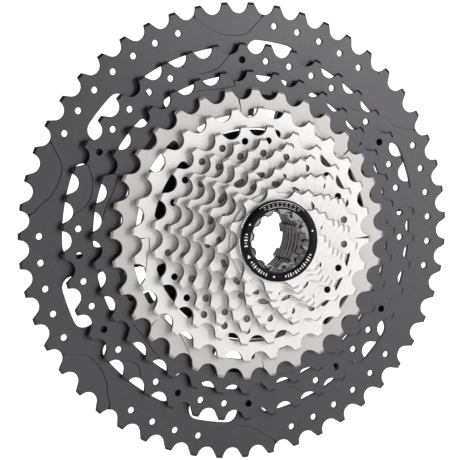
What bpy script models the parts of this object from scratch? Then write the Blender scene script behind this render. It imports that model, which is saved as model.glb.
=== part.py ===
"""Bicycle cassette: twelve sprockets on a riveted spider and a splined stack, with its lockring.

Frame: the axle runs along Y, the smallest sprocket faces -Y and +Z is up. The origin is on the
axle, in the plane where the spider's hub seats against the shoulder of the freehub.
Angles are in degrees about the axle, from +X towards +Z.
"""

from math import cos, pi, radians, sin, sqrt

import bmesh
import bpy

MM = 0.001

# Chain and stack
PITCH = 12.7 * MM               # bicycle chain pitch, fixes every sprocket's diameter
STEP = 3.75 * MM                # from one sprocket's front face to the next
PLATE = 1.8 * MM                # thickness of every sprocket
GAP = 0.3 * MM                  # clearance kept between pieces that touch
FRONT_51 = 5.0 * MM             # front face of the largest sprocket, behind the seat plane

# Tooth form
VALLEY = 4.25 * MM              # radius of the valley that holds a chain roller
VALLEY_SWEEPS = (-80, -40, 0, 30, 60)   # its arc runs up further on the steep side of a tooth
TIP_WIDTH = 2.95 * MM
TIP_LEAN = 0.45 * MM            # the tip leans towards the driven side
TIP_RISE = 0.8 * MM             # tip above the pitch circle

# Freehub splines
SPLINE_MAJOR = 17.45 * MM
SPLINE_MINOR = 16.1 * MM
SPLINE_COUNT = 9
SPLINE_HALF = 6.5               # half width of a spline tab, in degrees
SPLINE_HALF_KEY = 4.0           # the ninth tab is narrower, so the stack fits one way only
SPLINE_KEY_ANGLE = 90

# Round holes
HOLE = 1.5 * MM
HOLE_SIDES = 6

# Spider and rivets
SYMMETRY = 6
ARM_ANGLE = 10.8
ARM_WIDTH = 10.0 * MM
HUB_OUTER = 24.0 * MM
DISC_OUTER = 47.0 * MM
DISC_THICK = 2.3 * MM
ARM_INNER = 30.0 * MM
ARM_OUTER = 64.5 * MM
ARM_PAD_INNER = 57.0 * MM       # the arm's back is flat from here outwards
ARM_ROOT_FRONT = -6.2 * MM      # inside the disc's thickness
ARM_ROOT_BACK = -2.5 * MM
RIVET = 1.4 * MM
RIVET_HEAD = 2.2 * MM
RIVET_HEAD_THICK = 0.7 * MM
RIVET_CLEAR = 0.35 * MM
RIVET_SIDES = 6

# Spacer rings, washer and lockring
SPACER_OUTER = 20.6 * MM
SPACER_INNER = 17.8 * MM
SPACER_SIDES = 20
WASHER_OUTER = 17.6 * MM
WASHER_INNER = 15.7 * MM
WASHER_THICK = 1.0 * MM
LOCKRING_OUTER = 17.8 * MM
LOCKRING_THREAD = 15.25 * MM
LOCKRING_FLANGE = 1.6 * MM
LOCKRING_DEPTH = 5.5 * MM
LOCKRING_SPLINES = 12
LOCKRING_ROOT = 12.6 * MM
LOCKRING_MINOR = 11.3 * MM

GRAPHITE = ("graphite_anodised", (0.075, 0.076, 0.082, 1), 0.45, 0.8)
NICKEL = ("satin_nickel_steel", (0.66, 0.64, 0.62, 1), 0.35, 0.95)
BLACK_ALLOY = ("black_anodised_alloy", (0.02, 0.02, 0.022, 1), 0.5, 0.6)
BLACK_RING = ("black_lockring_alloy", (0.015, 0.015, 0.018, 1), 0.28, 0.7)
STEEL = ("rivet_steel", (0.5, 0.5, 0.5, 1), 0.4, 1.0)

# Teeth, angle of one tooth tip, finish
SPROCKETS = (
    (51, 4.6, GRAPHITE),
    (42, 7.0, GRAPHITE),
    (36, 1.1, GRAPHITE),
    (32, 0.2, NICKEL),
    (28, 11.3, NICKEL),
    (24, 9.6, NICKEL),
    (21, 4.5, NICKEL),
    (19, 6.1, NICKEL),
    (17, 10.3, NICKEL),
    (15, 13.3, NICKEL),
    (13, 23.1, NICKEL),
    (11, 1.1, NICKEL),
)

# Riveted sprockets: the radius of each bore, and the circle of the rivets that hold it; those of
# the 42 reach through the 51 as well
BORE_SIDES = 30
RIVETED = {51: 59.0 * MM, 42: 59.0 * MM, 36: 53.0 * MM, 32: 47.6 * MM}
RIVET_CIRCLE = {42: 61.5 * MM, 36: 55.3 * MM, 32: 49.7 * MM}

# Windows: middle angle, sweep, inner radius, outer radius, corner; each repeats six times
WINDOWS = {
    51: ((21.9, 16.6, 65.6 * MM, 87.3 * MM, 5.0 * MM), (52.6, 29.2, 65.6 * MM, 84.3 * MM, 4.5 * MM)),
    42: ((21.7, 15.0, 64.0 * MM, 71.4 * MM, 2.0 * MM), (52.7, 25.0, 64.0 * MM, 71.4 * MM, 2.0 * MM)),
    32: ((22.7, 21.5, 51.8 * MM, 56.3 * MM, 1.5 * MM), (51.2, 18.0, 51.8 * MM, 54.3 * MM, 0.8 * MM)),
    28: ((33.7, 35.0, 33.0 * MM, 47.9 * MM, 2.0 * MM),),
}

# Notches that open a bore outwards: middle angle, sweep, sweep of the spoke that follows, outer
# radius, corner; each repeats six times
NOTCHES = {
    36: ((21.7, 14.0, 11.5, 62.8 * MM, 1.5 * MM), (51.2, 22.0, 12.5, 60.9 * MM, 1.0 * MM)),
}

# Lightening holes: radius of their circle, angle of the first, and the teeth that have none,
# because the shift ramps take their place
HOLES = {
    51: (94.5 * MM, 4.6, (4, 5, 6, 12, 13, 14, 22, 23, 24, 30, 31, 32, 37, 38, 39, 46, 47, 48)),
    42: (78.0 * MM, 7.2, (5, 11, 12, 18, 19, 26, 32, 33, 39, 40)),
    24: (42.4 * MM, 9.9, ()),
    21: (36.8 * MM, 4.2, ()),
}

# Curved slots, one for each tooth: radius of their circle, angle of the first, sweep and width
SLOTS = {
    17: (27.7 * MM, 14.4, 10.0, 2.4 * MM),
    15: (23.9 * MM, 14.2, 9.0, 2.2 * MM),
}


def polar(radius, degrees):
    """The point (x, z) at a radius and an angle about the axle."""
    return radius * cos(radians(degrees)), radius * sin(radians(degrees))


def pitch_radius(teeth):
    """Radius of the circle through the chain's rollers."""
    return PITCH / (2 * sin(pi / teeth))


def front_face(teeth):
    """Y of a sprocket's front face."""
    order = [row[0] for row in SPROCKETS].index(teeth)
    return FRONT_51 - order * STEP


def back_face(teeth):
    """Y of a sprocket's back face."""
    return front_face(teeth) + PLATE


def circle(radius, sides, middle=(0.0, 0.0), turn=0.0):
    """A regular outline with its corners on a circle."""
    corners = (polar(radius, turn + 360 * i / sides) for i in range(sides))
    return [(middle[0] + x, middle[1] + z) for x, z in corners]


def tooth_outline(teeth, tip_angle):
    """Teeth with flat leaning tips and round valleys centred on the pitch circle."""
    pitch = pitch_radius(teeth)
    step = 360 / teeth
    tip = pitch + TIP_RISE
    half_tip = TIP_WIDTH / 2 / tip * 180 / pi
    lean = TIP_LEAN / tip * 180 / pi
    outline = []
    for tooth in range(teeth):
        middle = tip_angle + tooth * step
        outline += [polar(tip, middle - half_tip), polar(tip, middle + half_tip)]
        valley = radians(middle - lean + step / 2)
        for sweep in VALLEY_SWEEPS:
            out = pitch - VALLEY * cos(radians(sweep))
            along = VALLEY * sin(radians(sweep))
            outline.append((out * cos(valley) - along * sin(valley), out * sin(valley) + along * cos(valley)))
    return outline


def spline_outline():
    """The freehub bore: nine inward tabs, one of them narrower."""
    outline = []
    pitch = 360 / SPLINE_COUNT
    for tab in range(SPLINE_COUNT):
        middle = SPLINE_KEY_ANGLE + tab * pitch
        half = SPLINE_HALF if tab else SPLINE_HALF_KEY
        outline += [
            polar(SPLINE_MAJOR, middle - half - 1),
            polar(SPLINE_MINOR, middle - half),
            polar(SPLINE_MINOR, middle + half),
            polar(SPLINE_MAJOR, middle + half + 1),
            polar(SPLINE_MAJOR, middle + pitch / 2),
        ]
    return outline


def window(middle, sweep, inner, outer, corner):
    """An arched opening between two spokes, with its outer corners cut back."""
    half = sweep / 2
    cut = corner / outer * 180 / pi
    return [
        polar(outer - corner, middle - half),
        polar(outer, middle - half + cut),
        polar(outer, middle),
        polar(outer, middle + half - cut),
        polar(outer - corner, middle + half),
        polar(inner, middle + half),
        polar(inner, middle),
        polar(inner, middle - half),
    ]


def notched_bore(radius, notches):
    """A bore that opens outwards into notches between its spokes."""
    outline = []
    for turn in range(SYMMETRY):
        for middle, sweep, spoke, outer, corner in notches:
            angle, half = middle + turn * 360 / SYMMETRY, sweep / 2
            cut = corner / outer * 180 / pi
            outline += [
                polar(radius, angle - half),
                polar(outer - corner, angle - half),
                polar(outer, angle - half + cut),
                polar(outer, angle),
                polar(outer, angle + half - cut),
                polar(outer - corner, angle + half),
                polar(radius, angle + half),
                polar(radius, angle + half + spoke / 2),
            ]
    return outline


def slot(middle, sweep, radius, width):
    """A short curved slot with pointed ends."""
    half, side = sweep / 2, width / 2
    return [
        polar(radius, middle - half),
        polar(radius + side, middle - half / 2),
        polar(radius + side, middle + half / 2),
        polar(radius, middle + half),
        polar(radius - side, middle + half / 2),
        polar(radius - side, middle - half / 2),
    ]


def openings(teeth):
    """Every opening in a sprocket's plate: bore, rivet holes, windows, slots and round holes."""
    if teeth in RIVETED:
        bore = RIVETED[teeth]
        notches = NOTCHES.get(teeth)
        outlines = [notched_bore(bore, notches) if notches else circle(bore, BORE_SIDES)]
        rivets = RIVET_CIRCLE.get(teeth, RIVET_CIRCLE[42])
        for arm in range(SYMMETRY):
            angle = ARM_ANGLE + arm * 360 / SYMMETRY
            outlines.append(circle(RIVET + RIVET_CLEAR, RIVET_SIDES, polar(rivets, angle), angle))
    else:
        outlines = [spline_outline()]
    for middle, sweep, inner, outer, corner in WINDOWS.get(teeth, ()):
        for turn in range(SYMMETRY):
            outlines.append(window(middle + turn * 360 / SYMMETRY, sweep, inner, outer, corner))
    if teeth in SLOTS:
        radius, first, sweep, width = SLOTS[teeth]
        for tooth in range(teeth):
            outlines.append(slot(first + tooth * 360 / teeth, sweep, radius, width))
    if teeth in HOLES:
        radius, first, missing = HOLES[teeth]
        for tooth in range(teeth):
            if tooth not in missing:
                angle = first + tooth * 360 / teeth
                outlines.append(circle(HOLE, HOLE_SIDES, polar(radius, angle), angle))
    return outlines


def material(finish):
    """A Principled material for a finish, made once."""
    name, colour, roughness, metallic = finish
    if name in bpy.data.materials:
        return bpy.data.materials[name]
    made = bpy.data.materials.new(name)
    made.use_nodes = True
    shader = made.node_tree.nodes["Principled BSDF"]
    shader.inputs["Base Color"].default_value = colour
    shader.inputs["Roughness"].default_value = roughness
    shader.inputs["Metallic"].default_value = metallic
    made.diffuse_color = colour
    return made


def add_object(name, bm, finish, y=0.0, parent=None):
    """Close a bmesh into a named object on the axle."""
    bmesh.ops.recalc_face_normals(bm, faces=bm.faces)
    mesh = bpy.data.meshes.new(name)
    bm.to_mesh(mesh)
    bm.free()
    mesh.materials.append(material(finish))
    made = bpy.data.objects.new(name, mesh)
    bpy.context.scene.collection.objects.link(made)
    made.location = (0, y, 0)
    made.parent = parent
    return made


def flat_plate(outer, holes, thickness):
    """An outline with holes, filled and pulled towards -Y."""
    bm = bmesh.new()
    for outline in [outer] + holes:
        corners = [bm.verts.new((x, 0, z)) for x, z in outline]
        for i, corner in enumerate(corners):
            bm.edges.new((corner, corners[i - 1]))
    bmesh.ops.triangle_fill(bm, use_beauty=True, edges=bm.edges[:], normal=(0, -1, 0))
    pulled = bmesh.ops.extrude_face_region(bm, geom=bm.faces[:])
    corners = [item for item in pulled["geom"] if isinstance(item, bmesh.types.BMVert)]
    bmesh.ops.translate(bm, verts=corners, vec=(0, -thickness, 0))
    return bm


def bridged(bm, sections, closed=True):
    """Join sections of equally many points in order; the last meets the first, or both are capped."""
    rings = [[bm.verts.new((x, y, z)) for x, z in outline] for outline, y in sections]
    pairs = list(zip(rings, rings[1:] + rings[:1])) if closed else list(zip(rings, rings[1:]))
    for one, other in pairs:
        for i in range(len(one)):
            bm.faces.new((one[i - 1], one[i], other[i], other[i - 1]))
    if not closed:
        bm.faces.new(rings[0])
        bm.faces.new(rings[-1])


def smooth(made):
    """Shade a turned piece smooth, with its corners kept sharp."""
    made.data.shade_smooth()
    made.data.set_sharp_from_angle(angle=radians(40))


def sprocket(teeth, tip_angle, finish, parent):
    """One sprocket, a flat plate with its teeth, bore and openings."""
    bm = flat_plate(tooth_outline(teeth, tip_angle), openings(teeth), PLATE)
    return add_object(f"sprocket_{teeth}", bm, finish, back_face(teeth), parent)


def spacer(inner_teeth, outer_teeth, parent):
    """A ring that keeps two loose sprockets apart."""
    back = front_face(inner_teeth) - GAP
    front = back_face(outer_teeth) + GAP
    wide = circle(SPACER_OUTER, SPACER_SIDES)
    narrow = circle(SPACER_INNER, SPACER_SIDES)
    bm = bmesh.new()
    bridged(bm, [(wide, 0), (wide, front - back), (narrow, front - back), (narrow, 0)])
    smooth(add_object(f"spacer_{inner_teeth}_{outer_teeth}", bm, BLACK_ALLOY, back, parent))


def tool_outline(outer_radius):
    """The lockring's bore with twelve tool splines, or the matching outer circle."""
    outline = []
    pitch = 360 / LOCKRING_SPLINES
    for spline in range(LOCKRING_SPLINES):
        middle = spline * pitch
        for part, low in ((-0.28, False), (-0.14, True), (0.14, True), (0.28, False)):
            radius = outer_radius or (LOCKRING_MINOR if low else LOCKRING_ROOT)
            outline.append(polar(radius, middle + part * pitch))
    return outline


def lockring(parent):
    """Flange, threaded sleeve and a bore with tool splines, in one turned piece."""
    rear = front_face(11) - GAP - WASHER_THICK - GAP
    flange = tool_outline(LOCKRING_OUTER)
    sleeve = tool_outline(LOCKRING_THREAD)
    bore = tool_outline(0)
    bm = bmesh.new()
    bridged(bm, [
        (flange, -LOCKRING_FLANGE), (flange, 0), (sleeve, 0),
        (sleeve, LOCKRING_DEPTH), (bore, LOCKRING_DEPTH), (bore, -LOCKRING_FLANGE),
    ])
    smooth(add_object("lockring", bm, BLACK_RING, rear, parent))


def washer(parent):
    """The knurled washer between the smallest sprocket and the lockring."""
    wide = circle(WASHER_OUTER, 30)
    narrow = circle(WASHER_INNER, 30)
    bm = bmesh.new()
    bridged(bm, [(wide, 0), (wide, -WASHER_THICK), (narrow, -WASHER_THICK), (narrow, 0)])
    smooth(add_object("lockring_washer", bm, NICKEL, front_face(11) - GAP, parent))


def rivet_places(teeth):
    """Angle and middle of each of a sprocket's rivets."""
    for arm in range(SYMMETRY):
        angle = ARM_ANGLE + arm * 360 / SYMMETRY
        yield angle, polar(RIVET_CIRCLE[teeth], angle)


def rivet_end(teeth):
    """Y where a rivet's shank ends: behind the largest sprocket, or blind in the spider."""
    if teeth == 42:
        return back_face(51) + GAP
    return back_face(teeth) + 3.4 * MM


def rivets(teeth, parent):
    """Six rivets that hold a sprocket to the spider's arms."""
    front = front_face(teeth) - GAP
    length = rivet_end(teeth) - front
    for number, (angle, middle) in enumerate(rivet_places(teeth), 1):
        head = circle(RIVET_HEAD, RIVET_SIDES, turn=angle)
        shank = circle(RIVET, RIVET_SIDES, turn=angle)
        sections = [(head, -RIVET_HEAD_THICK), (head, 0), (shank, 0), (shank, length)]
        if teeth == 42:
            sections += [(head, length), (head, length + RIVET_HEAD_THICK)]
        bm = bmesh.new()
        bridged(bm, sections, closed=False)
        made = add_object(f"rivet_{teeth}_{number}", bm, STEEL, parent=parent)
        made.location = (middle[0], front, middle[1])


def guide(name, bm):
    """A shape that only cuts or joins another."""
    made = add_object(name, bm, BLACK_ALLOY)
    made.hide_render = True
    made.display_type = "WIRE"
    return made


def step_radius(teeth):
    """How far an arm's square step reaches inside a sprocket's bore, with a gap at its corners."""
    inside = RIVETED[teeth] * cos(pi / BORE_SIDES) - GAP
    return sqrt(inside ** 2 - (ARM_WIDTH / 2) ** 2)


def spider_arms():
    """Six stepped arms; each step carries one sprocket's inner ring."""
    half = ARM_WIDTH / 2
    inside_disc = DISC_OUTER - 2 * GAP
    behind_32, behind_36, behind_42 = (back_face(teeth) + GAP for teeth in (32, 36, 42))
    profile = [
        (ARM_INNER, ARM_ROOT_FRONT),
        (inside_disc, ARM_ROOT_FRONT),
        (inside_disc, behind_32),
        (step_radius(36), behind_32),
        (step_radius(36), behind_36),
        (step_radius(42), behind_36),
        (step_radius(42), behind_42),
        (ARM_OUTER, behind_42),
        (ARM_OUTER, front_face(51) - GAP),
        (ARM_PAD_INNER, front_face(51) - GAP),
        (ARM_INNER, ARM_ROOT_BACK),
    ]
    bm = bmesh.new()
    for arm in range(SYMMETRY):
        turn = radians(ARM_ANGLE + arm * 360 / SYMMETRY)
        sides = []
        for side in (-half, half):
            sides.append([
                bm.verts.new((r * cos(turn) - side * sin(turn), y, r * sin(turn) + side * cos(turn)))
                for r, y in profile
            ])
        for i in range(len(profile)):
            bm.faces.new((sides[0][i - 1], sides[0][i], sides[1][i], sides[1][i - 1]))
        bm.faces.new(sides[0])
        bm.faces.new(sides[1])
    return guide("spider_arms", bm)


def spider_drills():
    """The rivet holes through and into the spider's arms."""
    bm = bmesh.new()
    for teeth in RIVET_CIRCLE:
        start = back_face(teeth) - GAP
        for angle, middle in rivet_places(teeth):
            wide = circle(RIVET + RIVET_CLEAR, RIVET_SIDES, middle, angle)
            bridged(bm, [(wide, start), (wide, rivet_end(teeth) + GAP)], closed=False)
    return guide("spider_drills", bm)


def spider(parent):
    """The black carrier: splined hub, disc and six stepped arms."""
    front = back_face(28) + GAP
    bore = spline_outline()
    turn = SPLINE_KEY_ANGLE - SPLINE_HALF_KEY - 1
    hub = circle(HUB_OUTER, len(bore), turn=turn)
    disc = circle(DISC_OUTER, len(bore), turn=turn)
    bm = bmesh.new()
    bridged(bm, [
        (bore, front), (bore, 0), (hub, 0),
        (hub, front + DISC_THICK), (disc, front + DISC_THICK), (disc, front),
    ])
    made = add_object("spider", bm, BLACK_ALLOY, 0, parent)
    tools = (("arms", spider_arms(), "UNION"), ("drills", spider_drills(), "DIFFERENCE"))
    for name, tool, operation in tools:
        cut = made.modifiers.new(name, "BOOLEAN")
        cut.operation = operation
        cut.object = tool
        cut.solver = "EXACT"


def main():
    """Build the cassette from its largest sprocket to its lockring."""
    for old in list(bpy.data.objects):
        bpy.data.objects.remove(old, do_unlink=True)
    carrier = bpy.data.objects.new("cassette_axis", None)
    bpy.context.scene.collection.objects.link(carrier)
    spider(carrier)
    for teeth in RIVET_CIRCLE:
        rivets(teeth, carrier)
    inner = None
    for teeth, tip_angle, finish in SPROCKETS:
        if teeth not in RIVETED:
            slide = bpy.data.objects.new(f"slide_{teeth}", None)
            bpy.context.scene.collection.objects.link(slide)
            slide.parent = carrier
            carrier = slide
            if inner not in RIVETED:
                spacer(inner, teeth, carrier)
        sprocket(teeth, tip_angle, finish, carrier)
        inner = teeth
    washer(carrier)
    lockring(carrier)


main()
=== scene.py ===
"""Looks for a twelve-speed bicycle cassette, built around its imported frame.

The axle runs along Y, the smallest sprocket faces -Y and +Z is up. Lengths are in metres, and
angles are in degrees about the axle, from +X towards +Z.
"""

import logging
from dataclasses import dataclass, field
from enum import Enum
from math import acos, atan2, hypot, pi, radians, sin

import bmesh
import bpy
import numpy as np
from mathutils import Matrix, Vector


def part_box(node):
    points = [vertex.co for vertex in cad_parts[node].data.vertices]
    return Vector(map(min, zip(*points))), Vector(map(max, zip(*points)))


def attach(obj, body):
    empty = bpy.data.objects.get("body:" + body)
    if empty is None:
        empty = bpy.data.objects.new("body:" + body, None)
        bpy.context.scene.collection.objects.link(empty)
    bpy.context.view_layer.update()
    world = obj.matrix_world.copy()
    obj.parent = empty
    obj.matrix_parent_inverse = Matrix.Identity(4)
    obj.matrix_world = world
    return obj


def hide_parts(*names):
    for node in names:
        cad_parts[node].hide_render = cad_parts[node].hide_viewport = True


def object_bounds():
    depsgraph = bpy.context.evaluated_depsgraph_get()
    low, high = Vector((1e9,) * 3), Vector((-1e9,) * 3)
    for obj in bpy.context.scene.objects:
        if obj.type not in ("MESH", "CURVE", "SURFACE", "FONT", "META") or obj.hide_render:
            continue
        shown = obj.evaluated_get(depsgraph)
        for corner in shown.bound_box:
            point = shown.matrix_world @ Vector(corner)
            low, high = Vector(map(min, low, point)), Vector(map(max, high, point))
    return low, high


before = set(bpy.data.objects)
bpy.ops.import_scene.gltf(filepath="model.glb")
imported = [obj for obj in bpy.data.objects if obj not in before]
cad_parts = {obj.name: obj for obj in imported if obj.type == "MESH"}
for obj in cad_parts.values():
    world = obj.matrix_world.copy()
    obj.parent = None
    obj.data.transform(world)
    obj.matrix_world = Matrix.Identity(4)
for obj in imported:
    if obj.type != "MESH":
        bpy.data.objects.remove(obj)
CAD_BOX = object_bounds()
LOG = logging.getLogger("cassette")

Array = np.ndarray
Pair = tuple[float, float]
Colour = Triple = tuple[float, float, float]
Rows = list[tuple[Array | float, float]]        # a profile: radius and y, row by row

MM = 0.001
TURN = 360.0
SYMMETRY = 6

# Chain and tooth form
PITCH = 12.7 * MM
VALLEY = 4.25 * MM              # radius of the valley that holds a chain roller
TIP_WIDTH = 2.95 * MM
TIP_LEAN = 0.45 * MM            # the tip leans towards the driven side
TIP_ROUND = 0.22 * MM
TIP_SHY = 0.02 * MM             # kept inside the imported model's tips
VALLEY_POINTS = 13
FLANK_POINTS = 3                # on each straight flank, between its tip and its valley

# Edges: inset of a plate's face and depth of its chamfer. At the teeth the face ends at a circle
# below the pitch circle, and the chamfer there is deeper; it grows in over a zone beside it
EDGE = 0.13 * MM
TIP_DEPTH = 0.55 * MM
FACE_END = -0.35 * MM
EDGE_ZONE = (-1.0 * MM, 0.5 * MM)
PLATE_SHARP = 20.0              # less than the slope of the chamfer at a tip, so faces stay flat

CORNER_LIMIT = 0.6              # least cosine in an inset, which limits its reach at a corner

# How much of a cut wall shows in each kind of face: the value of the piece's "wall" attribute. On
# the sprockets it mixes in painted shade, all of it on walls and half on chamfers
FACE, CHAMFER, WALL = 0.0, 0.5, 1.0

# Freehub splines
SPLINE_MAJOR = 17.45 * MM
SPLINE_MINOR = 16.1 * MM
SPLINE_COUNT = 9
SPLINE_HALF = 6.5
SPLINE_HALF_KEY = 4.0
SPLINE_KEY_ANGLE = 90.0
BORE_STEPS = 720
BORE_ANGLES = np.arange(BORE_STEPS) / BORE_STEPS * TURN

# Spider and rivets
ARM_ANGLES = 10.8 + np.arange(SYMMETRY) * TURN / SYMMETRY
ARM_WIDTH = 10.0 * MM
RIVET_BORE = 1.75 * MM
RIVET_BORE_SIDES = 24
HOLE_SIDES = 20


def polar(radius: Array | float, degrees: Array | float) -> Array:
    """Points (x, z) at radii and angles about the axle: x is r cos a and z is r sin a."""
    turn = np.radians(degrees)
    return np.stack(np.broadcast_arrays(radius * np.cos(turn), radius * np.sin(turn)), -1)


def raised(flat: Array, y: Array | float) -> Array:
    """Flat points (x, z) given their value of y, each its own or all the same."""
    return np.stack(np.broadcast_arrays(flat[..., 0], y, flat[..., 1]), -1)


def ease(value: Array, low: float, high: float) -> Array:
    """Rises from 0 at low to 1 at high, as 3t^2 - 2t^3."""
    t = np.clip((value - low) / (high - low), 0, 1)
    return t * t * (3 - 2 * t)


def inward(outline: Array) -> Array:
    """Steps that inset a closed outline by one unit, to the left of its run.

    Each is the bisector of the two edges' left normals, over the cosine of half their turn.

    Args:
        outline: Points (x, z) of a closed outline with its material on the left.

    Returns:
        One step (x, z) for each point.
    """
    ahead = np.roll(outline, -1, axis=0) - outline
    ahead /= np.linalg.norm(ahead, axis=1, keepdims=True)
    behind = np.roll(ahead, 1, axis=0)
    left_ahead = np.stack([-ahead[:, 1], ahead[:, 0]], -1)
    left_behind = np.stack([-behind[:, 1], behind[:, 0]], -1)
    middle = left_ahead + left_behind
    middle /= np.linalg.norm(middle, axis=1, keepdims=True)
    cosine = np.maximum((middle * left_ahead).sum(1, keepdims=True), CORNER_LIMIT)
    return middle / cosine


def clockwise(outline: Array) -> Array:
    """The outline run clockwise: turned round where its signed area is positive."""
    x, z = outline[:, 0], outline[:, 1]
    area = (x * np.roll(z, -1) - np.roll(x, -1) * z).sum()
    return outline[::-1] if area > 0 else outline


def quads(rows: Array, wrap_rows: bool = False) -> Array:
    """Faces between neighbouring rows of point numbers; each row closes on itself.

    Args:
        rows: Point numbers, one row for each section.
        wrap_rows: Whether the last row also meets the first.

    Returns:
        Four point numbers for each face.
    """
    following = np.roll(rows, -1, axis=0) if wrap_rows else rows[1:]
    first = rows if wrap_rows else rows[:-1]
    sides = [first, following, np.roll(following, -1, axis=1), np.roll(first, -1, axis=1)]
    return np.stack(sides, -1).reshape(-1, 4)


def link(name: str, data: bpy.types.ID) -> bpy.types.Object:
    """Makes an object at the origin and links it to the scene."""
    made = bpy.data.objects.new(name, data)
    bpy.context.scene.collection.objects.link(made)
    return made


@dataclass
class Skin:
    """Gathers the points and faces of one piece and makes its mesh."""

    points: list[Array] = field(default_factory=list)
    faces: list[list[int]] = field(default_factory=list)
    walls: list[float] = field(default_factory=list)
    count: int = 0

    def add_points(self, points: Array) -> Array:
        """Adds points (x, y, z) in an array of any shape.

        Returns:
            The points' numbers, in the shape of the array.
        """
        flat = points.reshape(-1, 3)
        numbers = self.count + np.arange(len(flat)).reshape(points.shape[:-1])
        self.points.append(flat)
        self.count += len(flat)
        return numbers

    def add_faces(self, faces: Array, wall: Array | float = FACE) -> None:
        """Adds faces of three or four points, each with its share of cut wall."""
        self.faces += faces.tolist()
        self.walls += np.broadcast_to(wall, len(faces)).tolist()

    def fill(self, outlines: list[Array], back: bool = False) -> None:
        """Fills flat outlines of point numbers with triangles, with holes where they nest.

        Args:
            outlines: The closed outlines, each an array of point numbers.
            back: Whether the face looks along +Y instead of -Y.
        """
        everything = np.concatenate(self.points)
        numbers = np.concatenate(outlines)
        starts = np.cumsum([0] + [len(outline) for outline in outlines])
        edges = np.concatenate([
            np.stack([np.arange(a, b), np.roll(np.arange(a, b), -1)], -1)
            for a, b in zip(starts, starts[1:])
        ])
        flat = everything[numbers] * (1, 0, 1)
        mesh = bpy.data.meshes.new("fill")
        mesh.from_pydata(flat.tolist(), edges.tolist(), [])
        bm = bmesh.new()
        bm.from_mesh(mesh)
        bmesh.ops.triangle_fill(bm, use_beauty=True, edges=bm.edges[:], normal=(0, -1, 0))
        bm.to_mesh(mesh)
        bm.free()
        loops = np.zeros(len(mesh.loops), np.int32)
        mesh.loops.foreach_get("vertex_index", loops)
        bpy.data.meshes.remove(mesh)
        triangles = loops.reshape(-1, 3)
        a, b, c = (flat[triangles[:, k]][:, [0, 2]] for k in range(3))
        area = (b - a)[:, 0] * (c - a)[:, 1] - (b - a)[:, 1] * (c - a)[:, 0]
        turned = (area < 0) != back
        triangles[turned] = triangles[turned][:, ::-1]
        self.add_faces(numbers[triangles])

    def turned(self, rows: Rows, columns: int, wall: Array | float = FACE,
               closed: bool = True, middle: Array | Pair = (0.0, 0.0)) -> None:
        """Carries a profile round an axis along Y: a point is (r cos a, y, r sin a).

        Args:
            rows: The profile; a radius may have a value for each step of angle.
            columns: Number of equal steps of angle.
            wall: Share of cut wall in each band between rows.
            closed: Whether the last row meets the first; if not, flat ends close it.
            middle: The axis, as (x, z).
        """
        radii = np.stack([np.broadcast_to(radius, columns) for radius, _ in rows])
        heights = np.broadcast_to([[y] for _, y in rows], radii.shape)
        flat = polar(radii, np.arange(columns) / columns * TURN) + middle
        numbers = self.add_points(raised(flat, heights))
        bands = len(rows) if closed else len(rows) - 1
        self.add_faces(quads(numbers, closed), np.repeat(np.broadcast_to(wall, bands), columns))
        if not closed:
            self.add_faces(np.stack([numbers[0], numbers[-1][::-1]]))

    def slab(self, outline: Array, low: float, high: float) -> None:
        """A flat plate of one outline, clockwise or not, between two values of y."""
        outline = clockwise(outline)[::-1]
        numbers = self.add_points(np.stack([raised(outline, y) for y in (low, high)]))
        self.add_faces(quads(numbers), WALL)
        self.add_faces(np.stack([numbers[0], numbers[1][::-1]]))

    def make(self, name: str, finish: "Finish", sharp: float = 30) -> bpy.types.Object:
        """Makes the piece's object at the origin, smooth but for its sharp corners.

        Args:
            name: The piece's name.
            finish: Its finish.
            sharp: Angle in degrees past which an edge is a corner.

        Returns:
            The new object.
        """
        mesh = bpy.data.meshes.new(name)
        mesh.from_pydata(np.concatenate(self.points).tolist(), [], self.faces)
        mesh.attributes.new("wall", "FLOAT", "FACE").data.foreach_set("value", self.walls)
        mesh.validate()
        mesh.shade_smooth()
        mesh.set_sharp_from_angle(angle=radians(sharp))
        mesh.materials.append(finish.material())
        return link(name, mesh)


def seat(piece: bpy.types.Object, body: str, slot: str, *nodes: str) -> bpy.types.Object:
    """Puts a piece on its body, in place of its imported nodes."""
    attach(piece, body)
    if nodes:
        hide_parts(*nodes)
    LOG.info("%s rides on %s with %d faces", piece.name, body, len(piece.data.polygons))
    return piece


# Shader graphs


class Wire:
    """One output of a shader graph; its operators add Math nodes."""

    def __init__(self, graph: "Graph", socket: bpy.types.NodeSocket) -> None:
        """Holds the graph and the output socket."""
        self.graph = graph
        self.socket = socket

    def __add__(self, other: "Wire | float") -> "Wire":
        """Sum."""
        return self.graph.math("ADD", self, other)

    def __sub__(self, other: "Wire | float") -> "Wire":
        """Difference."""
        return self.graph.math("SUBTRACT", self, other)

    def __rsub__(self, other: float) -> "Wire":
        """A number less this."""
        return self.graph.math("SUBTRACT", other, self)

    def __mul__(self, other: "Wire | float") -> "Wire":
        """Product."""
        return self.graph.math("MULTIPLY", self, other)

    def __truediv__(self, other: "Wire | float") -> "Wire":
        """Quotient."""
        return self.graph.math("DIVIDE", self, other)

    __radd__ = __add__
    __rmul__ = __mul__


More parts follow.
